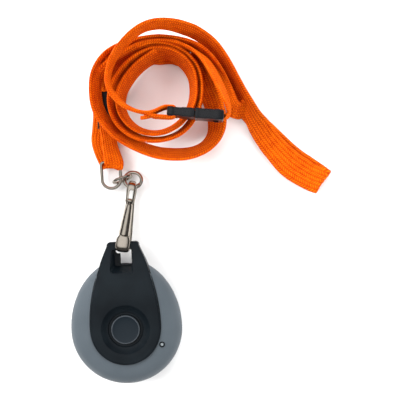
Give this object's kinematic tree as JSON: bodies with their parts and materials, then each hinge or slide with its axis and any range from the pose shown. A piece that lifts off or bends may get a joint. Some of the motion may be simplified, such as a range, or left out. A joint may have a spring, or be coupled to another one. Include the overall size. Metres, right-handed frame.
{
  "type": "panic alarm pendant",
  "caption": "Egg-shaped panic alarm pendant with a push button, on a braided neck lanyard with breakaway buckle, rings and a spring-gate hook.",
  "frame": {"origin": "centre of the pendant's flat back face, under the push button", "axes": "+Z out of the front of the pendant, +Y from the button to the lanyard loop, +X to the side of the status lamp"},
  "size_m": [0.1035, 0.1446, 0.0256],
  "materials": {
    "grey_shell": "fine matte",
    "black_plastic": "fine matte",
    "button_plastic": "satin",
    "buckle_plastic": "satin moulded",
    "strap": "tight flat braid",
    "nickel": "polished nickel plate",
    "blackened_steel": "satin",
    "lens": "clear",
    "silicone": "matte",
    "board": "solder mask",
    "chip": "moulded",
    "tin_plate": "brushed",
    "copper_trace": "plated",
    "steel": "zinc plated",
    "led_body": "moulded"
  },
  "bodies": {
    "lanyard": {"strap_inner_turns": "strap", "strap_outer_turn": "strap", "strap_upper_leg": "strap", "strap_plug_leg": "strap", "strap_socket_leg": "strap", "strap_far_fold": "strap", "strap_crossing": "strap", "strap_end_loop": "strap", "strap_crimp": "blackened_steel", "buckle_socket": "buckle_plastic"},
    "buckle_plug": {"buckle_plug": "buckle_plastic"},
    "strap_ring": {"strap_ring": "nickel"},
    "connecting_link": {"connecting_link": "nickel"},
    "hook_ring": {"hook_ring": "nickel"},
    "hook": {"hook_frame": "nickel", "gate_pin": "nickel"},
    "gate": {"hook_gate": "nickel"},
    "pendant": {"rear_housing": "grey_shell", "front_housing": "grey_shell", "housing_gasket": "silicone", "front_bezel": "black_plastic", "button_seal": "silicone", "tact_switch": "chip", "circuit_board": "board", "radio_shield": "tin_plate", "microcontroller": "chip", "crystal": "tin_plate", "board_passives": "chip", "loop_antenna": "copper_trace", "status_led": "led_body", "light_pipe": "lens", "light_pipe_collar": "black_plastic", "coin_battery": "tin_plate", "battery_clip": "tin_plate", "housing_screws": "steel"},
    "button": {"push_button": "button_plastic"},
    "stem": {"switch_stem": "chip"}
  },
  "joints": [
    {"name": "breakaway_slide", "type": "slide", "parent": "lanyard", "child": "buckle_plug", "axis": [-0.9925, 0.1219, 0], "range_m": [0, 0.004], "deforming": ["strap_plug_leg"]},
    {"name": "strap_ring_swing", "type": "hinge", "parent": "lanyard", "child": "strap_ring", "pos_m": [-0.0039, 0.0654, 0.00295], "axis": [-1, 0, 0], "range_deg": [0, 60]},
    {"name": "link_swing", "type": "hinge", "parent": "strap_ring", "child": "connecting_link", "pos_m": [-0.0001, 0.0583, 0.00275], "axis": [-1, 0, 0], "range_deg": [0, 12]},
    {"name": "hook_ring_swing", "type": "hinge", "parent": "connecting_link", "child": "hook_ring", "pos_m": [0.002, 0.0586, 0.00275], "axis": [-1, 0, 0], "range_deg": [0, 20]},
    {"name": "hook_swing", "type": "hinge", "parent": "hook_ring", "child": "hook", "pos_m": [0.00435, 0.05468, 0.00398], "axis": [-0.9863, 0.165, 0], "range_deg": [0, 40]},
    {"name": "gate_hinge", "type": "hinge", "parent": "hook", "child": "gate", "pos_m": [0.00347, 0.04947, 0.00656], "axis": [0.9863, -0.165, 0], "range_deg": [0, 12], "stiffness_Nm_per_rad": 0.002, "springref_deg": -11.46},
    {"name": "pendant_swing", "type": "hinge", "parent": "hook", "child": "pendant", "pos_m": [0.00054, 0.03193, 0.0066], "axis": [-1, 0, 0], "range_deg": [0, 18]},
    {"name": "button_press", "type": "slide", "parent": "pendant", "child": "button", "axis": [0, 0, -1], "range_m": [0, 0.0006], "stiffness_N_per_m": 400, "springref_m": -0.0005},
    {"name": "stem_press", "type": "slide", "parent": "pendant", "child": "stem", "axis": [0, 0, -1], "range_m": [0, 0.0006]}
  ],
  "couplings": [
    {"joint": "stem_press", "follows": "button_press", "ratio": 1}
  ]
}
